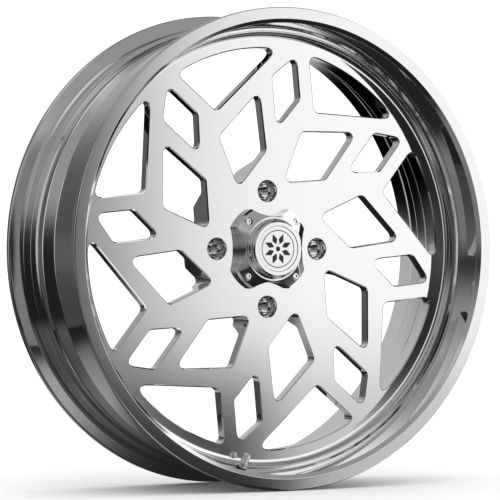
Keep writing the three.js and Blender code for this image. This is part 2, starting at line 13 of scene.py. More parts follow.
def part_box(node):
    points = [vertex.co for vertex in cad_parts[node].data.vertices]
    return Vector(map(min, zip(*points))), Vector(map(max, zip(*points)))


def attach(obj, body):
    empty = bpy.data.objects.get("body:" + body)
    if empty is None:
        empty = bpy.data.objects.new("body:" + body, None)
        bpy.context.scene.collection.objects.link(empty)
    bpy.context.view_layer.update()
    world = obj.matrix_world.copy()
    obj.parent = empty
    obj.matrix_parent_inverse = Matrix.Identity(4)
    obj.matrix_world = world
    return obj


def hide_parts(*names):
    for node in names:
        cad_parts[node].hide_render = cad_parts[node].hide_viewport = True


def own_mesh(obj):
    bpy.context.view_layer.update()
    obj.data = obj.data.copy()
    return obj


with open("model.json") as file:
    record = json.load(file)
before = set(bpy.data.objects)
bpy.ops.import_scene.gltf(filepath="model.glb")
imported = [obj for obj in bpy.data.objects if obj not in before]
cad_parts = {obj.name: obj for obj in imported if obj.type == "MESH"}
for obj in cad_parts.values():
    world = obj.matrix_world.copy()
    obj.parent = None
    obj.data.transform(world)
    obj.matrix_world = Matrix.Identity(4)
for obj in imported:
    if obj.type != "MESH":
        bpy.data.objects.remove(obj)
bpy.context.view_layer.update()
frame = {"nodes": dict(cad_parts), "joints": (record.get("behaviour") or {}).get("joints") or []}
mm = 0.001
turn = 2 * math.pi
scene = bpy.context.scene


# Camera

cameraPlace = {"x": -2148, "y": -3709, "z": -10, "yaw": 30.03, "rise": 0.115, "lens": 226.9}


def addCamera():
    data = bpy.data.cameras.new("camera")
    data.lens = cameraPlace["lens"]
    data.clip_end = 50
    camera = bpy.data.objects.new("camera", data)
    scene.collection.objects.link(camera)
    yaw, rise = math.radians(cameraPlace["yaw"]), math.radians(cameraPlace["rise"])
    along = Vector((math.sin(yaw), math.cos(yaw), math.tan(rise)))
    camera.location = Vector([cameraPlace[k] * mm for k in "xyz"])
    camera.rotation_euler = along.to_track_quat("-Z", "Y").to_euler()
    scene.camera = camera


addCamera()
print("camera placed")


# Shader maths: a value on its way to a socket

class Value:
    def __init__(self, tree, socket=None):
        self.tree, self.socket = tree, socket

    def make(self, kind, settings=None, inputs=None, output=0):
        node = self.tree.nodes.new("ShaderNode" + kind)
        for name, setting in (settings or {}).items():
            setattr(node, name, setting)
        for name, given in (inputs or {}).items():
            self.feed(node.inputs[name], given)
        return Value(self.tree, node.outputs[output])

    def feed(self, target, given):
        if isinstance(given, Value):
            self.tree.links.new(given.socket, target)
        else:
            target.default_value = given

    def maths(self, operation, first, second=0.0):
        return self.make("Math", {"operation": operation}, {0: first, 1: second})

    def __add__(self, other):
        return self.maths("ADD", self, other)

    def __sub__(self, other):
        return self.maths("SUBTRACT", self, other)

    def __rsub__(self, other):
        return self.maths("SUBTRACT", other, self)

    def __mul__(self, other):
        return self.maths("MULTIPLY", self, other)

    def __truediv__(self, other):
        return self.maths("DIVIDE", self, other)

    def __rtruediv__(self, other):
        return self.maths("DIVIDE", other, self)

    __radd__ = __add__
    __rmul__ = __mul__


def logistic(value, middle, width):
    # a smooth step from 0 to 1 about the middle
    return 1 / (1 + value.maths("EXPONENT", (middle - value) / width))


def split(vector):
    parts = vector.make("SeparateXYZ", inputs={"Vector": vector})
    node = parts.socket.node
    return [Value(vector.tree, node.outputs[k]) for k in range(3)]


# Main planes of the wheel, from the frame

seatGap = 0.3  # left between touching pieces
barrelLow, barrelHigh = [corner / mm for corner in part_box("rim_barrel")]
centreLow, centreHigh = [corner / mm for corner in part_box("wheel_centre")]
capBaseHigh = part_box("cap_base")[1] / mm
flangeRadius = barrelHigh.x
frontY, rearY = barrelLow.y, barrelHigh.y
centreRadius = centreHigh.x
faceY = capBaseHigh.y + seatGap
plateBackY = faceY + 15
padY = centreHigh.y
wheelSegments = 360
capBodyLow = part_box("cap_body")[0] / mm
capTopY = capBodyLow.y
badge = {
    "faceY": capTopY + 0.8, "thickness": 0.6, "cutDepth": 0.25, "radius": 30.5, "edge": 0.2,
    "ringInner": 24.2, "ringOuter": 25.4, "petals": 8, "petalFrom": 6.2, "petalTo": 22,
    "petalWidth": 8, "petalFillet": 0.8, "hub": 3.4,
}


# Materials

def startMaterial(name):
    material = bpy.data.materials.new(name)
    material.use_nodes = True
    shader = material.node_tree.nodes["Principled BSDF"]
    root = Value(material.node_tree)
    place = root.make("TexCoord", output=3)
    return material, shader, root, place


def noise(place, scale, detail=2, rough=0.5):
    return place.make("TexNoise", inputs={"Vector": place, "Scale": scale, "Detail": detail,
                                          "Roughness": rough})


def mixColours(share, first, second):
    return share.make("Mix", {"data_type": "RGBA"}, {0: share, 6: first, 7: second}, output=2)


def polishedMetal(name, looks):
    # looks: light and dark colours, roughness and how far it wanders, and the tool marks
    material, shader, root, place = startMaterial(name)
    cloud = noise(place, looks["cloudScale"], 3)
    grain = noise(place, looks["grainScale"], 2, 0.6)
    roughness = looks["roughness"] + (cloud - 0.5) * looks["cloudy"] + (grain - 0.5) * looks["grainy"]
    height = grain * looks["grainHeight"]
    if looks.get("rings"):
        x, y, z = split(place)
        square = x * x + z * z
        radius = square.maths("SQRT", square)
        lines = place.make("TexNoise", {"noise_dimensions": "1D"},
                           {"W": radius * looks["rings"] + y * looks["rings"] * 1.3, "Scale": 1.0,
                            "Detail": 2.0})
        height = height + lines * looks["ringHeight"]
        roughness = roughness + (lines - 0.5) * looks["ringRough"]
    root.feed(shader.inputs["Base Color"], mixColours(cloud, looks["dark"], looks["light"]))
    root.feed(shader.inputs["Roughness"], roughness)
    shader.inputs["Metallic"].default_value = 1
    bump = root.make("Bump", inputs={"Height": height, "Distance": looks["bump"] * mm,
                                     "Strength": 1.0})
    root.feed(shader.inputs["Normal"], bump)
    return material


def grey(value, warmth=0.0):
    return (value * (1 + warmth), value, value * (1 - warmth), 1)


barrelLooks = {
    "light": grey(0.90), "dark": grey(0.84), "roughness": 0.045, "cloudScale": 7, "cloudy": 0.02,
    "grainScale": 900, "grainy": 0.015, "grainHeight": 0.2, "bump": 0.004,
    "rings": 1400, "ringHeight": 0.5, "ringRough": 0.03,
}
centreLooks = {
    "light": grey(0.93), "dark": grey(0.89), "roughness": 0.022, "cloudScale": 6, "cloudy": 0.012,
    "grainScale": 1200, "grainy": 0.008, "grainHeight": 0.2, "bump": 0.001,
}
chromeLooks = {
    "light": grey(0.95), "dark": grey(0.90), "roughness": 0.02, "cloudScale": 40, "cloudy": 0.01,
    "grainScale": 1500, "grainy": 0.006, "grainHeight": 0.2, "bump": 0.001,
}
badgeLooks = dict(chromeLooks, light=grey(0.92), dark=grey(0.88), roughness=0.05)
steelLooks = {
    "light": grey(0.42), "dark": grey(0.30), "roughness": 0.3, "cloudScale": 120, "cloudy": 0.15,
    "grainScale": 1800, "grainy": 0.1, "grainHeight": 1.0, "bump": 0.01,
}
brassLooks = {
    "light": (0.80, 0.58, 0.26, 1), "dark": (0.60, 0.40, 0.16, 1), "roughness": 0.25,
    "cloudScale": 200, "cloudy": 0.1, "grainScale": 2500, "grainy": 0.08, "grainHeight": 1.0,
    "bump": 0.008,
}


def badgeMaterial():
    # polished metal with black paint in whatever is cut below its face
    material = polishedMetal("badgeMetal", badgeLooks)
    tree = material.node_tree
    shader = tree.nodes["Principled BSDF"]
    root = Value(tree)
    x, y, z = split(root.make("TexCoord", output=3))
    depth = y - (badge["faceY"] + badge["cutDepth"] / 2) * mm
    painted = logistic(depth, 0, 0.01 * mm)
    base = Value(tree, shader.inputs["Base Color"].links[0].from_socket)
    rough = Value(tree, shader.inputs["Roughness"].links[0].from_socket)
    root.feed(shader.inputs["Base Color"], mixColours(painted, base, grey(0.008)))
    root.feed(shader.inputs["Roughness"], rough + painted * 0.3)
    root.feed(shader.inputs["Metallic"], 1 - painted)
    return material


def rubberMaterial():
    material, shader, root, place = startMaterial("blackRubber")
    speck = noise(place, 1800, 3, 0.7)
    bloom = noise(place, 150, 2)
    root.feed(shader.inputs["Base Color"], mixColours(bloom, grey(0.012), grey(0.03)))
    root.feed(shader.inputs["Roughness"], 0.55 + (speck - 0.5) * 0.3)
    bump = root.make("Bump", inputs={"Height": speck, "Distance": 0.02 * mm, "Strength": 0.8})
    root.feed(shader.inputs["Normal"], bump)
    return material


materials = {
    "barrel_polish": polishedMetal("barrelPolish", barrelLooks),
    "centre_polish": polishedMetal("centrePolish", centreLooks),
    "cap_chrome": polishedMetal("capChrome", chromeLooks),
    "badge_metal": badgeMaterial(),
    "screw_chrome": polishedMetal("screwChrome", dict(chromeLooks, roughness=0.05)),
    "valve_chrome": polishedMetal("valveChrome", dict(chromeLooks, roughness=0.04)),
    "bolt_steel": polishedMetal("boltSteel", steelLooks),
    "spring_steel": polishedMetal("springSteel", dict(steelLooks, light=grey(0.6), roughness=0.2)),
    "valve_brass": polishedMetal("valveBrass", brassLooks),
    "black_rubber": rubberMaterial(),
}
print("materials ready")


# Mesh helpers

def polar(radius, degrees):
    angle = math.radians(degrees)
    return Vector((radius * math.cos(angle), radius * math.sin(angle)))


def filletLength(before, corner, after, radius):
    # how far from a corner its fillet starts
    half = (before - corner).angle(after - corner) / 2
    return radius / math.tan(half)


def roundCorners(bm, verts, radii, segments):
    places = [v.co.copy() for v in verts]
    count = len(verts)
    for k, radius in enumerate(radii):
        if not radius:
            continue
        before, after = places[k - 1], places[(k + 1) % count]
        length = filletLength(before, places[k], after, radius)
        bmesh.ops.bevel(bm, geom=[verts[k]], offset=length, offset_type="OFFSET",
                        segments=segments, profile=0.5, affect="VERTICES", material=-1)


def turned(profile, segments, closed=True, arc=4):
    # profile: [radius, y] or [radius, y, fillet], turned about Y
    bm = bmesh.new()
    verts = [bm.verts.new((p[0] * mm, p[1] * mm, 0)) for p in profile]
    pairs = list(zip(verts, verts[1:]))
    if closed:
        pairs.append((verts[-1], verts[0]))
    for pair in pairs:
        bm.edges.new(pair)
    radii = [p[2] * mm if len(p) > 2 else 0 for p in profile]
    roundCorners(bm, verts, radii, arc)
    bmesh.ops.spin(bm, geom=bm.verts[:] + bm.edges[:], cent=(0, 0, 0), axis=(0, 1, 0),
                   angle=turn, steps=segments, use_merge=True)
    bmesh.ops.remove_doubles(bm, verts=bm.verts, dist=1e-6)
    bmesh.ops.dissolve_degenerate(bm, dist=1e-7, edges=bm.edges)
    bmesh.ops.recalc_face_normals(bm, faces=bm.faces)
    return bm


def outlineFace(bm, corners, y, segments):
    # corners: (place in the front view, fillet)
    verts = [bm.verts.new((p.x * mm, y * mm, p.y * mm)) for p, _ in corners]
    face = bm.faces.new(verts)
    roundCorners(bm, verts, [fillet * mm for _, fillet in corners], segments)
    return face


def prism(corners, lowY, highY, segments=6):
    bm = bmesh.new()
    outlineFace(bm, corners, lowY, segments)
    made = bmesh.ops.extrude_face_region(bm, geom=bm.faces[:])
    tops = [g for g in made["geom"] if isinstance(g, bmesh.types.BMVert)]
    bmesh.ops.translate(bm, verts=tops, vec=(0, (highY - lowY) * mm, 0))
    bmesh.ops.recalc_face_normals(bm, faces=bm.faces)
    return bm


def widened(corners, by):
    # the outline moved outwards by the same distance all round
    wide = []
    for k, (place, fillet) in enumerate(corners):
        before = (corners[k - 1][0] - place).normalized()
        after = (corners[(k + 1) % len(corners)][0] - place).normalized()
        half = before.angle(after) / 2
        outward = -(before + after).normalized()
        wide.append((place + outward * (by / math.sin(half)), fillet + by if fillet else 0))
    return wide


def flared(corners, flare, front, face, depth, segments=6):
    # a cutter as wide as the flare up to the face, then drawn in at 45 degrees by depth
    inward = 1 if face > front else -1
    bm = prism(widened(corners, flare), front, face, segments)
    cap = max(bm.faces, key=lambda f: f.calc_center_median().y * inward)
    bmesh.ops.inset_region(bm, faces=[cap], thickness=depth * mm, use_even_offset=True)
    bmesh.ops.translate(bm, verts=cap.verts, vec=(0, depth * inward * mm, 0))
    return bm, cap


def flaredPrism(corners, flare, front, face, back):
    # a cutter that leaves a chamfered edge at the face and comes out at the back
    bm, cap = flared(corners, flare, front, face, flare)
    made = bmesh.ops.extrude_face_region(bm, geom=[cap])
    ends = [g for g in made["geom"] if isinstance(g, bmesh.types.BMVert)]
    bmesh.ops.translate(bm, verts=ends, vec=(0, (back - face - flare) * mm, 0))
    if cap.is_valid:
        bmesh.ops.delete(bm, geom=[cap], context="FACES_ONLY")
    bmesh.ops.recalc_face_normals(bm, faces=bm.faces)
    return bm


def flareOnly(corners, flare, front, face):
    # a cutter that only chamfers the edge of an opening
    bm, _ = flared(corners, flare, front, face, flare + 0.3)
    bmesh.ops.recalc_face_normals(bm, faces=bm.faces)
    return bm


def hexagon(width, middle=Vector((0, 0))):
    return [(middle + polar(width / math.sqrt(3), 60 * k), 0) for k in range(6)]


def movedBy(bm, x=0, y=0, z=0):
    bmesh.ops.translate(bm, verts=bm.verts, vec=(x * mm, y * mm, z * mm))
    return bm


def joined(parts):
    whole = bmesh.new()
    for part in parts:
        mesh = bpy.data.meshes.new("part")
        part.to_mesh(mesh)
        part.free()
        whole.from_mesh(mesh)
        bpy.data.meshes.remove(mesh)
    return whole


def asObject(bm, name):
    mesh = bpy.data.meshes.new(name)
    bm.to_mesh(mesh)
    bm.free()
    thing = bpy.data.objects.new(name, mesh)
    scene.collection.objects.link(thing)
    return thing


def baked(thing):
    # the object's mesh with its modifiers applied
    view = bpy.context.evaluated_depsgraph_get()
    mesh = bpy.data.meshes.new_from_object(thing.evaluated_get(view))
    thing.modifiers.clear()
    old, thing.data = thing.data, mesh
    bpy.data.meshes.remove(old)
    return thing


def boolean(thing, cutters, operation="DIFFERENCE"):
    other = asObject(joined(cutters), "cutter")
    step = thing.modifiers.new("cut", "BOOLEAN")
    step.operation, step.solver, step.object = operation, "EXACT", other
    baked(thing)
    bpy.data.objects.remove(other)
    return thing


def finished(thing, body, node, slotName, smoothBelow=32):
    mesh = thing.data
    mesh.materials.clear()
    mesh.materials.append(materials[slotName])
    mesh.shade_smooth()
    mesh.set_sharp_from_angle(angle=math.radians(smoothBelow))
    even = thing.modifiers.new("evenShading", "WEIGHTED_NORMAL")
    even.keep_sharp = True
    even.weight = 100
    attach(thing, body)
    if node:
        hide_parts(node)
    return thing


def middleOf(node):
    low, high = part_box(node)
    return (low + high) / 2 / mm


# Tyre valve's own frame: local Y runs along its axis, out of the tyre

valve = {
    "stem": 4, "bottom": -7.2, "baseTop": -5.6, "base": 6.8, "tip": 18.8, "tipEdge": 0.6,
    "threadPitch": 0.8, "threadDepth": 0.35, "threadLow": 5,
    "seatInside": 3.2, "seatOutside": 2.5, "grommet": 6.6, "grommetThickness": 1.8,
    "washerThickness": 1.2, "washerLow": 4.9, "bore": 4.4, "nutWidth": 12.5, "nutHeight": 3.6,
    "recess": 7.917, "pocket": 7.5, "cutReach": 22,
    "capLow": 11, "cap": 5.4, "capTop": 23, "capFloor": 20.2, "knurls": 28, "knurlDepth": 0.35,
    "sealThickness": 0.8, "sealInner": 2.8, "sealOuter": 3.8,
    "core": 2.2, "coreLow": 4.8, "coreHigh": 12.8, "cupLow": 2.1, "cupHigh": 4.5, "cup": 1.9,
    "pin": 0.8, "button": 1.8, "buttonLow": 17.4, "pinTop": 18.4, "throat": 1.6,
    "springTurns": 6, "springWire": 0.22, "springRadius": 1.25, "travel": 1.5,
}


def valveMatrix():
    joint = next(j for j in frame["joints"] if j["name"] == "valve_cap_unscrew")
    axis = Vector(joint["axis"]).normalized()
    verts = frame["nodes"]["valve_washer"].data.vertices
    stations = [axis.dot(v.co) for v in verts]
    low, high = min(stations), max(stations)
    middle = sum([v.co for v in verts], Vector()) / len(verts)
    station = (valve["washerLow"] + valve["washerThickness"] / 2) * mm
    origin = middle + axis * ((low + high) / 2 - axis.dot(middle) - station)
    outwards = Vector((origin.x, 0, origin.z)).normalized()
    side = Vector((-outwards.z, 0, outwards.x))
    side = (side - axis * side.dot(axis)).normalized()
    matrix = Matrix((side, axis, side.cross(axis))).transposed().to_4x4()
    matrix.translation = origin
    return matrix


valveFrame = valveMatrix()


def onValve(bm):
    bmesh.ops.transform(bm, matrix=valveFrame, verts=bm.verts)
    return bm


def valveCutter(profile):
    return onValve(turned(profile, 48, closed=False))


# Wheel centre

centre = {
    "ringWidth": 22.3, "edgeFillet": 8.4, "landWidth": 1.2,
    "bossRoot": 120, "hubPad": 108, "hubBore": 66, "hubBoreDepth": 12, "noseBore": 36,
    "hubFace": 90, "windowFillet": 8,
    "innerWindow": [(0.43, 71.2), (0.679, 48.4), (0.235, 45.9), (0.022, 73.6)],
    "smallWindow": [(0.968, 80.2), (0.659, 75.9), (0.407, 84.7), (0.793, 88)],
    "outerCorner": (0.609, 68.2), "outerSpan": (75.8, 41.5), "arcSteps": 24,
    "lugCircle": 78, "lugMouth": 14.5, "lugBore": 7, "lugLand": 8, "lugConeDepth": 13,
    "lugStep": 13.2, "lugStepDepth": 12, "lugEdge": 0.7,
    "pocketCircle": 86, "pocket": 12, "pocketDepth": 14,
    "screwHole": 2.9, "screwDepth": 9.3, "boltHole": 3.9, "boltDepth": 10.3,
    "windowEdge": 1.5, "backEdge": 0.8, "turnedEdge": 0.7, "boltEdge": 0.4,
    "cutFront": -150, "cutBack": 50, "cutFar": 150,  # where cutters start and end
}


def windowOutlines():
    # inner, small and outer windows, eight of each
    ring = centreRadius - centre["ringWidth"]

    def corner(share, degrees, turnedBy):
        return polar(centre["hubFace"] + share * (ring - centre["hubFace"]), degrees + turnedBy)

    outlines = {"innerWindow": [], "smallWindow": [], "outerWindow": []}
    fillet = centre["windowFillet"]
    for turnedBy in range(0, 360, 45):
        for name in ("innerWindow", "smallWindow"):
            outlines[name].append([(corner(s, a, turnedBy), fillet) for s, a in centre[name]])
        start, end = centre["outerSpan"]
        tip = corner(*centre["outerCorner"], turnedBy)
        first, last = polar(ring, start + turnedBy), polar(ring, end + turnedBy)
        margins = []
        for place, other in ((first, last), (last, first)):
            along = Vector((-place.y, place.x)) * (1 if place.cross(other) > 0 else -1)
            length = filletLength(tip, place, place + along, fillet + centre["windowEdge"])
            margins.append(math.degrees(length / ring) * 1.08)
        arcStart, arcEnd = start - margins[0], end + margins[1]
        steps = centre["arcSteps"]
        outline = [(tip, fillet), (first, fillet)]
        for k in range(steps + 1):
            outline.append((polar(ring, arcStart + (arcEnd - arcStart) * k / steps + turnedBy), 0))
        outline.append((last, fillet))
        outlines["outerWindow"].append(outline)
    return outlines


def hole(radius, lowY, highY, place, segments=48, edge=0, edgeY=0):
    # a round cutter along Y; its edge is chamfered where it opens at edgeY
    profile = [(0, lowY), (radius, lowY), (radius, highY), (0, highY)]
    if edge and edgeY > lowY:
        profile[2:3] = [(radius, edgeY - edge), (radius + edge, edgeY), (radius + edge, highY)]
    return movedBy(turned(profile, segments, closed=False), x=place.x, z=place.y)


def boltPlaces():
    places = [middleOf(f"assembly_bolt_{number:02d}") for number in range(1, 17)]
    return [Vector((place.x, place.z)) for place in places]


def screwPlaces():
    places = [middleOf(f"cap_screw_{number}") for number in range(1, 5)]
    return [Vector((place.x, place.z)) for place in places]


def lugCutter(place):
    c = centre
    coneEnd = padY - c["lugLand"]
    stepY = faceY + c["lugStepDepth"]
    mouth, bore, edge = c["lugMouth"], c["lugBore"], c["lugEdge"]
    profile = [
        (0, c["cutFront"]), (mouth + edge, c["cutFront"]), (mouth + edge, faceY),
        (mouth, faceY + edge), (mouth, stepY, 0.5), (c["lugStep"], stepY, 0.5),
        (c["lugStep"], coneEnd - c["lugConeDepth"] + 2), (bore, coneEnd, 0.5),
        (bore, padY - edge), (bore + edge, padY), (bore + edge, c["cutBack"]), (0, c["cutBack"]),
    ]
    return movedBy(turned(profile, 64, closed=False), x=place.x, z=place.y)


def buildCentre():
    c = centre
    filletEnd = centreRadius - c["landWidth"]
    landY = centreLow.y
    boreY = padY - c["hubBoreDepth"]
    edge = c["turnedEdge"]
    profile = [
        (c["noseBore"], faceY, edge), (filletEnd, faceY, c["edgeFillet"]), (filletEnd, landY, 0.3),
        (centreRadius, landY, 0.3), (centreRadius, plateBackY, edge), (c["bossRoot"], plateBackY, 4),
        (c["hubPad"], padY, edge), (c["hubBore"], padY, edge), (c["hubBore"], boreY, 1.5),
        (c["noseBore"], boreY, edge),
    ]
    thing = asObject(turned(profile, wheelSegments, arc=8), "polished_centre")
    windows = windowOutlines()
    cutters = []
    for outline in windows["innerWindow"] + windows["smallWindow"] + windows["outerWindow"]:
        cutters.append(flaredPrism(outline, c["windowEdge"], c["cutFront"], faceY, c["cutFar"]))
    for k in range(4):
        cutters.append(lugCutter(polar(c["lugCircle"], 90 * k)))
        pocket = polar(c["pocketCircle"], 90 * k + 45)
        floor = padY - c["pocketDepth"]
        cutters.append(hole(c["pocket"], floor, c["cutBack"], pocket, 48, edge, padY))
    for place in boltPlaces():
        depth = plateBackY - c["boltDepth"]
        cutters.append(hole(c["boltHole"], depth, c["cutBack"], place, 24, c["boltEdge"], plateBackY))
    for place in screwPlaces():
        cutters.append(hole(c["screwHole"], c["cutFront"], faceY + c["screwDepth"], place, 24))
    recess = valve["recess"]
    seat, reach = valve["seatOutside"], valve["cutReach"]
    cutters.append(valveCutter([(0, seat), (recess, seat), (recess, reach), (0, reach)]))
    boolean(thing, cutters)
    backs = windows["smallWindow"] + windows["outerWindow"]
    boolean(thing, [flareOnly(outline, c["backEdge"], c["cutFar"], plateBackY) for outline in backs])
    return finished(thing, "wheel", "wheel_centre", "centre_polish")


buildCentre()
print("centre built")


# Barrel

barrel = {
    "flange": 12, "bead": 304.8, "seatWidth": 18, "seatTaper": 1.2, "hump": 1.6,
    "ledgeDrop": 1.8, "rearLedgeDrop": 4.8, "wellDrop": 15.8, "wellWidth": 19, "wall": 5.5,
    "lipFace": 15.6, "lipWallFront": 301.4, "lipWallRear": 299.5, "lipChamfer": 4,
    "joinFlange": 9, "tabRadius": 264, "ringRadius": 272, "tabWidth": 9, "tabMiddle": 81.1,
    "tabSlope": 1.2, "gapSteps": 20, "gapMargin": 3, "boltHole": 3.9,
}


def barrelProfile():
    b = barrel
    bead, flange = b["bead"], flangeRadius
    seatEnd = 5 + b["seatWidth"]
    humpTop = bead - b["seatTaper"] + b["hump"]
    ledge, rearLedge = bead - b["ledgeDrop"], bead - b["rearLedgeDrop"]
    well = bead - b["wellDrop"]
    joinFront = plateBackY + seatGap
    wellStart = joinFront + b["joinFlange"] + 20
    wellEnd = wellStart + b["wellWidth"]
    lipDepth = b["flange"]
    ledgeY = centreLow.y
    seat = centreRadius + seatGap
    # both lips and seats, by their depth from the lip's face
    lip = [
        (flange, 0, 1.6), (flange, lipDepth * 0.75, 3.5), (bead + 3.5, lipDepth + 1.3, 2.2),
        (bead, lipDepth + 5, 3), (bead - b["seatTaper"], lipDepth + seatEnd, 0.8),
    ]
    front = lip + [
        (humpTop, lipDepth + seatEnd + 4, 2.5), (humpTop, lipDepth + seatEnd + 6.5, 2.5),
        (ledge, lipDepth + seatEnd + 11, 4),
    ]
    rear = lip + [
        (humpTop, lipDepth + seatEnd + 2.5, 1.5), (humpTop, lipDepth + seatEnd + 4.5, 1.5),
        (rearLedge, lipDepth + seatEnd + 10, 4),
    ]
    outside = [(r, frontY + d, f) for r, d, f in front]
    outside += [(ledge, wellStart - 9, 5), (well, wellStart, 4), (well, wellEnd, 4),
                (rearLedge, wellEnd + 13, 6)]
    outside += [(r, rearY - d, f) for r, d, f in reversed(rear)]
    wall = b["wall"]
    inside = [
        (bead + 7, rearY, 1.5), (bead - wall, rearY - 6, 2),
        (bead - wall - b["seatTaper"], rearY - 37, 4), (rearLedge - wall, rearY - 45, 4),
        (rearLedge - wall, wellEnd + 15, 6), (well - wall, wellEnd + 1, 4),
        (well - wall, wellStart - 1, 4), (ledge - wall, wellStart - 11, 4),
        (ledge - wall, joinFront + b["joinFlange"], 2), (b["tabRadius"], joinFront + b["joinFlange"], 1),
        (b["tabRadius"], joinFront), (seat, joinFront), (seat, ledgeY, 0.4),
        (seat + 3.6, ledgeY, 0.5), (b["lipWallRear"], ledgeY - b["lipChamfer"], 0.8),
        (b["lipWallFront"], frontY + b["lipChamfer"], 1.2),
        (flange - b["lipFace"], frontY, 0.8),
    ]
    return outside + inside


def tabGaps():
    # what is cut away between the tabs of the join flange
    b = barrel
    slope, steps, margin = b["tabSlope"], b["gapSteps"], b["gapMargin"]
    low = plateBackY + seatGap - margin
    high = low + b["joinFlange"] + 2 * margin
    cutters = []
    for k in range(8):
        start = b["tabMiddle"] + 45 * k + b["tabWidth"] / 2
        end = start + 45 - b["tabWidth"]
        outer = [(polar(b["ringRadius"], start + slope + (end - start - 2 * slope) * i / steps), 0)
                 for i in range(steps + 1)]
        inner = [(polar(b["tabRadius"] - 2 * margin, degrees), 0) for degrees in (end, start)]
        cutters.append(prism(outer + inner, low, high))
    return cutters


def buildBarrel():
    thing = asObject(turned(barrelProfile(), wheelSegments, arc=5), "polished_barrel")
    cutters = tabGaps()
    cutters += [hole(barrel["boltHole"], -60, 20, place, 24) for place in boltPlaces()]
    v = valve
    seatIn, seatOut, reach = -v["seatInside"], v["seatOutside"], v["cutReach"]
    cutters.append(valveCutter([
        (0, -reach), (v["pocket"], -reach), (v["pocket"], seatIn), (v["bore"], seatIn),
        (v["bore"], seatOut), (v["recess"], seatOut), (v["recess"], reach), (0, reach),
    ]))
    boolean(thing, cutters)
    return finished(thing, "wheel", "rim_barrel", "barrel_polish")


buildBarrel()
print("barrel built")


# Small turned and ribbed parts

def threaded(radius, low, high, pitch, depth):
    # profile points of a thread's ridges, from low to high
    points = []
    turns = int((high - low) / pitch)
    for k in range(turns):
        start = low + k * pitch
        points += [(radius - depth, start), (radius, start + pitch * 0.35), (radius, start + pitch * 0.5)]
    points.append((radius - depth, low + turns * pitch))
    return points


def ribbed(radius, depth, count):
    # a round outline with shallow ribs
    corners = []
    for k in range(count):
        for part, inset in ((0.1, 0), (0.4, 0), (0.6, depth), (0.9, depth)):
            corners.append((polar(radius - inset, 360 * (k + part) / count), 0))
    return corners


def copies(bm, names, places, slotName, nodes):
    # the same piece at every place; bm is modelled on the wheel's axis
    made = []
    for name, place, node in zip(names, places, nodes):
        piece = asObject(movedBy(bm.copy(), x=place.x, z=place.y), name)
        made.append(finished(piece, "wheel", node, slotName))
    bm.free()
    return made


# Bolts behind the spoke ends

bolt = {
    "shank": 3.5, "head": 5.5, "headHeight": 7, "edge": 0.5, "socketWidth": 6,
    "socketDepth": 3.5, "ribs": 30, "ribDepth": 0.18, "ribHeight": 4.6, "pitch": 1, "threadDepth": 0.45,
}


def buildBolts():
    b = bolt
    low, high = [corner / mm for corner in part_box("assembly_bolt_01")]
    headY = high.y - b["headHeight"]
    profile = [(0, low.y), (b["shank"] - 0.5, low.y)]
    profile += threaded(b["shank"], low.y + 0.4, plateBackY, b["pitch"], b["threadDepth"])
    profile += [(b["shank"], plateBackY + 1), (b["shank"], headY), (b["head"] - 0.15, headY),
                (b["head"] - 0.15, high.y, b["edge"]), (0, high.y)]
    thing = asObject(turned(profile, 36, closed=False), "bolt")
    grip = ribbed(b["head"], b["ribDepth"], b["ribs"])
    boolean(thing, [prism(grip, headY + 0.8, headY + b["ribHeight"])], "UNION")
    boolean(thing, [prism(hexagon(b["socketWidth"]), high.y - b["socketDepth"], high.y + 1)])
    bm = bmesh.new()
    bm.from_mesh(thing.data)
    bpy.data.objects.remove(thing)
    names = [f"assembly_bolt_{number:02d}_turned" for number in range(1, 17)]
    nodes = [f"assembly_bolt_{number:02d}" for number in range(1, 17)]
    copies(bm, names, boltPlaces(), "bolt_steel", nodes)


buildBolts()
print("bolts built")


# Centre cap: heights from the centre's face towards the street side

cap = {
    "bore": 34.2, "topRadius": 43, "topHeight": 18, "stepRadius": 58.6, "stepHeight": 10.2,
    "edgeRadius": 61.2, "edgeHeight": 7.2, "scallop": 51, "scallopCircle": 95, "edge": 0.5,
    "screwHole": 2.9, "screwSeat": 10.3, "screwPocket": 5.4,
    "body": 38, "bodyFoot": 41, "footHeight": 2.4, "bevel": 2.2, "recess": 30.9, "spigot": 33.8,
    "spigotDepth": 15, "wall": 5, "grooveFloor": 31.1, "grooveHalf": 1.6,
}


def heights(profile):
    return [(p[0], faceY - p[1], *p[2:]) for p in profile]


def buildCapBase():
    c = cap
    profile = heights([
        (c["bore"], seatGap, 0.3), (c["bore"], c["topHeight"], 0.3), (c["topRadius"], c["topHeight"], 1.2),
        (c["stepRadius"], c["stepHeight"], 0.5), (c["edgeRadius"], c["edgeHeight"], 0.6),
        (c["edgeRadius"], seatGap, 0.3),
    ])
    thing = asObject(turned(profile, 192), "cap_base_plate")
    top = faceY - c["topHeight"] - 5
    scallops = [polar(c["scallopCircle"], 90 * k) for k in range(4)]
    for pair in (scallops[::2], scallops[1::2]):
        boolean(thing, [hole(c["scallop"], top, 0, place, 160) for place in pair])
    seatY = faceY - c["screwSeat"]
    pocket = [(0, top), (c["screwPocket"], top), (c["screwPocket"], seatY), (c["screwHole"], seatY),
              (c["screwHole"], 0), (0, 0)]
    boolean(thing, [movedBy(turned(pocket, 40, closed=False), x=place.x, z=place.y)
                    for place in screwPlaces()])
    return finished(thing, "wheel", "cap_base", "cap_chrome")


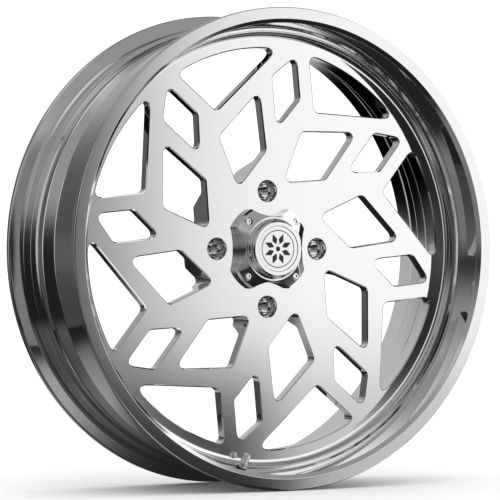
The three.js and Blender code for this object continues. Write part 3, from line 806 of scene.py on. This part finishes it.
def buildCapBody():
    c = cap
    full = faceY - capTopY
    shoulder = c["topHeight"] + seatGap
    badgeSeat = full - (badge["faceY"] - capTopY) - badge["thickness"] - 0.2
    grooveY = c["topHeight"] - c["spigotDepth"] / 2
    hollow = c["spigot"] - c["wall"]
    low = c["topHeight"] - c["spigotDepth"]
    profile = heights([
        (0, badgeSeat), (c["recess"], badgeSeat, 0.3), (c["recess"], full, 0.4),
        (c["body"] - c["bevel"], full, 0.7), (c["body"], full - c["bevel"], 0.9),
        (c["body"], shoulder + c["footHeight"] + 1.4, 1.2),
        (c["bodyFoot"], shoulder + c["footHeight"] * 0.5, 0.8),
        (c["bodyFoot"], shoulder, 0.3), (c["spigot"], shoulder, 0.3),
        (c["spigot"], grooveY + c["grooveHalf"], 0.2), (c["grooveFloor"], grooveY + c["grooveHalf"], 0.2),
        (c["grooveFloor"], grooveY - c["grooveHalf"], 0.2), (c["spigot"], grooveY - c["grooveHalf"], 0.2),
        (c["spigot"], low, 0.6), (hollow, low, 0.4), (hollow, badgeSeat - c["wall"], 2),
        (0, badgeSeat - c["wall"]),
    ])
    thing = asObject(turned(profile, 192, closed=False), "cap_drum")
    return finished(thing, "wheel", "cap_body", "cap_chrome")


def buildCapBadge():
    # a plain eight-petal rosette inside a ring
    b = badge
    edge = b["edge"]
    backY = b["faceY"] + b["thickness"]
    profile = [(0, b["faceY"]), (b["radius"], b["faceY"], edge), (b["radius"], backY), (0, backY)]
    thing = asObject(turned(profile, 160, closed=False), "cap_rosette")
    top, floor = b["faceY"] - 1, b["faceY"] + b["cutDepth"]
    ring = [(b["ringInner"], top), (b["ringOuter"], top), (b["ringOuter"], floor), (b["ringInner"], floor)]
    cutters = [turned(ring, 160), hole(b["hub"], top, floor, Vector((0, 0)), 48)]
    middle = b["petalFrom"] + (b["petalTo"] - b["petalFrom"]) * 0.42
    for k in range(b["petals"]):
        degrees = 360 * (k + 0.5) / b["petals"]
        aside = polar(b["petalWidth"] / 2, degrees + 90)
        petal = [polar(b["petalFrom"], degrees), polar(middle, degrees) - aside,
                 polar(b["petalTo"], degrees), polar(middle, degrees) + aside]
        cutters.append(prism([(corner, b["petalFillet"]) for corner in petal], top, floor, 3))
    boolean(thing, cutters)
    return finished(thing, "wheel", "cap_badge", "badge_metal")


def buildCapSeal():
    low, high = [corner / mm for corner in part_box("cap_seal")]
    radius = (high.y - low.y) / 2
    middle, y = high.x - radius, (low.y + high.y) / 2
    sides = 16
    section = [(middle + radius * math.cos(turn * k / sides), y + radius * math.sin(turn * k / sides))
               for k in range(sides)]
    thing = asObject(turned(section, 160), "cap_o_ring")
    return finished(thing, "wheel", "cap_seal", "black_rubber", 60)


capScrew = {
    "head": 4.7, "headHeight": 3.3, "shank": 2.5, "socketWidth": 4, "socketDepth": 2, "dome": 1.1,
    "pitch": 0.8, "threadDepth": 0.35,
}


def buildCapScrews():
    c = capScrew
    low, high = [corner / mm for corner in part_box("cap_screw_1")]
    seatY = low.y + c["headHeight"]
    profile = [(0, low.y), (c["head"] - c["dome"], low.y, 0.4), (c["head"], low.y + c["dome"], 0.6),
               (c["head"], seatY, 0.2), (c["shank"], seatY), (c["shank"], seatY + 2)]
    profile += threaded(c["shank"], seatY + 2.2, high.y - 0.6, c["pitch"], c["threadDepth"])
    profile += [(c["shank"] - 0.6, high.y), (0, high.y)]
    thing = asObject(turned(profile, 40, closed=False), "screw")
    boolean(thing, [prism(hexagon(c["socketWidth"]), low.y - 1, low.y + c["socketDepth"])])
    bm = bmesh.new()
    bm.from_mesh(thing.data)
    bpy.data.objects.remove(thing)
    names = [f"cap_screw_{number}_domed" for number in range(1, 5)]
    nodes = [f"cap_screw_{number}" for number in range(1, 5)]
    copies(bm, names, screwPlaces(), "screw_chrome", nodes)


buildCapBase()
buildCapBody()
buildCapBadge()
buildCapSeal()
buildCapScrews()
print("cap built")


# Tyre valve

def valvePiece(profile, name, node, slotName, body="wheel", segments=64, closed=True, smooth=32):
    thing = asObject(onValve(turned(profile, segments, closed=closed)), name)
    return finished(thing, body, node, slotName, smooth)


def ringProfile(inner, outer, low, high, edge=0.15):
    return [(inner, low, edge), (outer, low, edge), (outer, high, edge), (inner, high, edge)]


def buildStem():
    v = valve
    bore = v["core"] + 0.4
    cupBore = v["cup"] + 0.4
    roomEnd = v["cupLow"] - v["travel"] - 1
    profile = [
        (v["throat"], v["bottom"], 0.2), (v["base"], v["bottom"], 0.4), (v["base"], v["baseTop"], 0.4),
        (v["stem"], v["baseTop"]), (v["stem"], v["threadLow"] - 0.4),
    ]
    threadHigh = v["tip"] - v["tipEdge"]
    profile += threaded(v["stem"], v["threadLow"], threadHigh, v["threadPitch"], v["threadDepth"])
    profile += [
        (v["stem"] - v["tipEdge"], v["tip"]), (bore, v["tip"], 0.15), (bore, v["cupHigh"]),
        (cupBore, v["cupHigh"]), (cupBore, roomEnd), (v["throat"], roomEnd - cupBore + v["throat"]),
    ]
    valvePiece(profile, "stem_threaded", "valve_stem", "valve_chrome")


def buildNut():
    v = valve
    low = v["washerLow"] + v["washerThickness"] + seatGap
    high = low + v["nutHeight"]
    thing = asObject(prism(hexagon(v["nutWidth"]), low, high), "nut_hex")
    corner = v["nutWidth"] / math.sqrt(3)
    slope = 0.6
    rounded = [(0, low - 1), (corner - slope, low - 1), (corner - slope, low), (corner, low + slope),
               (corner, high - slope), (corner - slope, high), (corner - slope, high + 1), (0, high + 1)]
    boolean(thing, [turned(rounded, 72, closed=False)], "INTERSECT")
    bore = [(0, low - 1), (v["bore"] + 0.5, low - 1), (v["bore"] + 0.5, low), (v["bore"], low + 0.5),
            (v["bore"], high - 0.5), (v["bore"] + 0.5, high), (v["bore"] + 0.5, high + 1), (0, high + 1)]
    boolean(thing, [turned(bore, 48, closed=False)])
    thing.data.transform(valveFrame)
    return finished(thing, "wheel", "valve_nut", "valve_chrome")


def buildSpring():
    # a round wire wound round the pin
    v = valve
    low, high = v["coreHigh"] + seatGap, v["buttonLow"] - seatGap
    wire = v["springWire"]
    bm = bmesh.new()
    circle = bmesh.ops.create_circle(bm, cap_ends=False, segments=10, radius=wire * mm)
    rise = (high - low - 2 * wire) * mm
    bmesh.ops.translate(bm, verts=circle["verts"], vec=(v["springRadius"] * mm, (low + wire) * mm, 0))
    bottom = bm.edges[:]
    steps = v["springTurns"] * 28
    made = bmesh.ops.spin(bm, geom=bm.verts[:] + bm.edges[:], cent=(0, 0, 0), axis=(0, 1, 0),
                          angle=turn * v["springTurns"], steps=steps, dvec=(0, rise / steps, 0))
    tops = [g for g in made["geom_last"] if isinstance(g, bmesh.types.BMEdge)]
    bmesh.ops.holes_fill(bm, edges=bottom, sides=0)
    bmesh.ops.holes_fill(bm, edges=tops, sides=0)
    bmesh.ops.recalc_face_normals(bm, faces=bm.faces)
    thing = asObject(onValve(bm), "spring_wound")
    finished(thing, "wheel", "valve_core_spring", "spring_steel", 60)
    for step in list(thing.modifiers):
        thing.modifiers.remove(step)
    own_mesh(thing)


def buildValveCap():
    v = valve
    bore, outer = v["bore"], v["cap"]
    thing = asObject(turned([
        (bore, v["capLow"], 0.15), (outer - 0.3, v["capLow"], 0.25), (outer - 0.3, v["capTop"], 1.2),
        (2.4, v["capTop"], 0.2), (2.0, v["capTop"] - 0.3), (0, v["capTop"] - 0.3), (0, v["capFloor"]),
        (bore, v["capFloor"], 0.2),
    ], 96), "cap_knurled")
    grip = prism(ribbed(outer, v["knurlDepth"], v["knurls"]), v["capLow"] + 1.4, v["capTop"] - 2.2, 1)
    core = turned([(0, v["capLow"] - 1), (outer - 0.6, v["capLow"] - 1), (outer - 0.6, v["capTop"] + 1),
                   (0, v["capTop"] + 1)], 96, closed=False)
    sleeve = boolean(asObject(grip, "sleeve"), [core])
    bm = bmesh.new()
    bm.from_mesh(sleeve.data)
    bpy.data.objects.remove(sleeve)
    boolean(thing, [bm], "UNION")
    thing.data.transform(valveFrame)
    return finished(thing, "valve_cap", "valve_cap", "valve_chrome")


def buildValve():
    v = valve
    buildStem()
    innerTop = -v["seatInside"] - seatGap
    outerLow = v["seatOutside"] + seatGap
    thick = v["grommetThickness"]
    valvePiece(ringProfile(v["bore"], v["grommet"], innerTop - thick, innerTop, 0.4),
               "grommet_inner", "valve_inner_grommet", "black_rubber")
    valvePiece(ringProfile(v["bore"], v["grommet"], outerLow, outerLow + thick, 0.4),
               "grommet_outer", "valve_outer_grommet", "black_rubber")
    washerHigh = v["washerLow"] + v["washerThickness"]
    valvePiece(ringProfile(v["bore"], v["grommet"], v["washerLow"], washerHigh),
               "washer_flat", "valve_washer", "valve_chrome")
    buildNut()
    core = [(v["pin"] + 0.4, v["coreLow"], 0.1), (v["core"] - 0.3, v["coreLow"], 0.1),
            (v["core"] - 0.3, v["coreLow"] + 3)]
    core += threaded(v["core"], v["coreLow"] + 3.2, v["coreHigh"] - 1, 0.7, 0.25)
    core += [(v["core"] - 0.3, v["coreHigh"], 0.1), (v["pin"] + 0.4, v["coreHigh"], 0.1)]
    valvePiece(core, "core_barrel", "valve_core_body", "valve_brass", segments=36)
    pin = [(0, v["cupLow"]), (v["cup"], v["cupLow"], 0.3), (v["cup"], v["cupHigh"], 0.2),
           (v["pin"], v["cupHigh"]), (v["pin"], v["buttonLow"]), (v["button"], v["buttonLow"], 0.15),
           (v["button"], v["pinTop"], 0.3), (0, v["pinTop"])]
    valvePiece(pin, "core_plunger", "valve_core_pin", "valve_brass", "core_pin", 36, closed=False)
    buildSpring()
    buildValveCap()
    sealLow = v["tip"] + seatGap
    valvePiece(ringProfile(v["sealInner"], v["sealOuter"], sealLow, sealLow + v["sealThickness"], 0.2),
               "cap_washer", "valve_cap_seal", "black_rubber", "valve_cap")


buildValve()
print("valve built")


# Floor, light and background

# places in metres; each step is its middle and how soft it is
studio = {
    "floorDrop": 0.4, "floorSize": 30, "soft": 1.25, "dim": 0.015,
    "lightPower": 12, "lightSize": 2.4, "lightPlace": (-1.2, -2.0, 2.6),
}
facePanel = {
    "y": -1.2, "middle": 0.679, "scale": 1.316, "lean": 0.08, "side": (-0.206, 0.081),
    "low": (0.0, 0.025), "lowGlow": 0.55, "rise": (-0.163, 0.035), "glow": 1.02, "dim": 0.02,
    "above": (0.56, 0.03), "aboveGlow": 0.3, "left": (-0.34, 0.04), "leftGlow": 0.2,
}
backPanel = {
    "y": 1.0, "side": (-0.40, 0.12), "glow": 0.46, "dim": 0.07, "slant": 0.2, "edge": (-0.10, 0.02),
    "upper": (0.76, 0.03), "upperLoss": 0.45, "left": (-0.37, 0.03), "leftDim": 0.06,
    "leftStep": (-0.15, 0.05), "leftGlow": 0.05,
}
# painted light on the floor behind the wheel, with the wheel's painted shadow at its near edge, seen only
# in mirrors
floorLightBehind = {"x": (-0.775, -0.025, 0.02), "y": (0.085, 0.555, 0.025), "fadeFrom": -0.15,
               "fadeOver": 0.2, "glow": 0.55}
# painted light on the floor in front of and to the left of the wheel, brightest in a middle band, seen
# only in mirrors
floorLightLeft = {"x": (-0.75, 0.0, 0.025), "y": (-0.6, 0.15, 0.04), "middle": (-0.45, -0.05, 0.03),
             "dim": 0.1, "glow": 0.3}
# painted light on the floor to the right of the wheel, starting a little past it, seen only in mirrors
floorLightRight = {"from": (0.30, 0.02), "y": (-0.25, 0.25, 0.015), "glow": 0.5}
sky = {"above": (0.2, 0.05), "front": (0.2, 0.05), "glow": 0.3}
skyLights = [  # direction, inner and outer half angles in degrees, brightness
    ((-0.45, 0.2, 0.87), 8, 24, 0.6),
    ((-0.6, -0.75, -0.3), 12, 22, 0.18),
    ((0.95, -0.30, 0), 32, 44, 1),
    ((-0.75, 0.65, 0.25), 18, 34, 0.7),
    ((0.6, 0.65, 0.5), 10, 24, 0.5),
]


def addPlane(name, width, height, place, aim):
    bm = bmesh.new()
    bmesh.ops.create_grid(bm, x_segments=1, y_segments=1, size=0.5)
    bmesh.ops.scale(bm, verts=bm.verts, vec=(width, height, 1))
    thing = asObject(bm, name)
    thing.location = place
    thing.rotation_euler = Vector(aim).to_track_quat("Z", "Y").to_euler()
    return thing


def addFloor():
    floor = addPlane("floor", studio["floorSize"], studio["floorSize"],
                     (0, 0, (barrelLow.z - studio["floorDrop"]) * mm), (0, 0, 1))
    floor.visible_glossy = False
    material, shader, root, place = startMaterial("paleFloor")
    speck = noise(place, 60, 2)
    root.feed(shader.inputs["Base Color"], mixColours(speck, grey(0.88), grey(0.9)))
    shader.inputs["Roughness"].default_value = 1
    shader.inputs["Specular IOR Level"].default_value = 0
    floor.data.materials.append(material)


def addCard(name, width, height, place, aim, glowAt):
    # a glowing card that only mirrors see, used as a softbox and as painted light on the floor; glowAt
    # gives its brightness from x, y and z in metres
    card = addPlane(name, width, height, place, aim)
    card.visible_camera = card.visible_shadow = card.visible_diffuse = False
    material = bpy.data.materials.new(name)
    material.use_nodes = True
    tree = material.node_tree
    tree.nodes.clear()
    root = Value(tree)
    output = tree.nodes.new("ShaderNodeOutputMaterial")
    emission = root.make("Emission", inputs={"Strength": glowAt(*split(root.make("NewGeometry")))})
    tree.links.new(emission.socket, output.inputs["Surface"])
    card.data.materials.append(material)


def addSoftLight():
    data = bpy.data.lights.new("softLight", "AREA")
    data.energy, data.shape, data.size = studio["lightPower"], "DISK", studio["lightSize"]
    light = bpy.data.objects.new("softLight", data)
    scene.collection.objects.link(light)
    light.location = studio["lightPlace"]
    light.rotation_euler = Vector(light.location).to_track_quat("Z", "Y").to_euler()
    light.visible_glossy = light.visible_camera = False


def within(value, low, high, soft):
    # 1 between two places, fading to nothing at both
    return logistic(value, low + soft * 4, soft) * (1 - logistic(value, high - soft * 4, soft))


def faceGlow(x, y, z):
    # brightest up and to the right, with dim panels above and to the left
    p = facePanel
    across, up = (x - p["middle"]) / p["scale"], z / p["scale"]
    side = logistic(across + up * p["lean"], *p["side"])
    low = logistic(across, *p["low"]) * p["lowGlow"]
    rise = logistic(up, *p["rise"])
    above = logistic(z, *p["above"]) * p["aboveGlow"] * (1 - side)
    left = (1 - logistic(x, *p["left"])) * p["leftGlow"]
    return p["dim"] + above + left + side * (low + (1 - low) * rise) * p["glow"]


def backGlow(x, y, z):
    # a panel behind the wheel, fading to the left, with a soft slanted lower edge
    p = backPanel
    side = logistic(x, *p["side"]) * p["glow"] + p["dim"]
    edge = logistic(z + p["slant"] * x, *p["edge"])
    upper = 1 - logistic(z, *p["upper"]) * p["upperLoss"]
    left = (1 - logistic(x, *p["left"])) * (p["leftDim"] + logistic(z, *p["leftStep"]) * p["leftGlow"])
    return side * edge * upper + left * (1 - edge)


def floorBehindGlow(x, y, z):
    # painted light on the floor behind the wheel, seen only in mirrors, fading to the left, and dark at
    # its near edge where the wheel's painted shadow falls
    p = floorLightBehind
    spread = (x - p["fadeFrom"]) / p["fadeOver"]
    fade = spread.maths("EXPONENT", spread)
    shown = within(y, *p["y"]) * within(x, *p["x"])
    return studio["dim"] + shown * fade * p["glow"]


def floorLeftGlow(x, y, z):
    # painted light on the floor in front of and to the left of the wheel, brightest in a middle band
    p = floorLightLeft
    middle = within(x, *p["middle"]) * p["glow"]
    return studio["dim"] + (p["dim"] + middle) * within(x, *p["x"]) * within(y, *p["y"])


def floorRightGlow(x, y, z):
    # painted light on the floor to the right of the wheel, seen only in mirrors
    p = floorLightRight
    return studio["dim"] + logistic(x, *p["from"]) * within(y, *p["y"]) * p["glow"]


def addWorld():
    # mirrors see a dim room with a few soft lights; everything else sees an even white
    world = bpy.data.worlds.new("studio")
    world.use_nodes = True
    tree = world.node_tree
    tree.nodes.clear()
    root = Value(tree)
    output = tree.nodes.new("ShaderNodeOutputWorld")
    x, y, z = split(root.make("TexCoord"))
    mirrored = logistic(z, *sky["above"]) * (1 - logistic(y, *sky["front"])) * sky["glow"]
    mirrored = mirrored + studio["dim"]
    for direction, inner, outer, brightness in skyLights:
        aim = Vector(direction).normalized()
        dot = x * aim.x + y * aim.y + z * aim.z
        spot = dot.make("MapRange", {"interpolation_type": "SMOOTHSTEP"},
                        {"Value": dot, "From Min": math.cos(math.radians(outer)),
                         "From Max": math.cos(math.radians(inner))})
        mirrored = mirrored + spot * brightness
    glossy = root.make("LightPath", output=3)
    glow = glossy * mirrored + (1 - glossy) * studio["soft"]
    background = root.make("Background", inputs={"Color": grey(1), "Strength": glow})
    tree.links.new(background.socket, output.inputs["Surface"])
    scene.world = world


addFloor()
floorLevel = (barrelLow.z - studio["floorDrop"] / 2) * mm
addCard("faceCard", 2.4, 2.0, (facePanel["middle"], facePanel["y"], 0), (0, 1, 0), faceGlow)
addCard("backCard", 3.0, 2.0, (-0.1, backPanel["y"], 0.55), (0, -1, 0), backGlow)
addCard("floorLightBehind", 0.75, 0.45, (-0.4, 0.33, floorLevel), (0, 0, 1), floorBehindGlow)
addCard("floorLightLeft", 0.75, 0.75, (-0.375, -0.225, floorLevel), (0, 0, 1), floorLeftGlow)
addCard("floorLightRight", 1.3, 0.5, (0.93, 0, floorLevel), (0, 0, 1), floorRightGlow)
addSoftLight()
addWorld()
scene.view_settings.view_transform = "Standard"
scene.view_settings.look = "None"
print("studio lit")
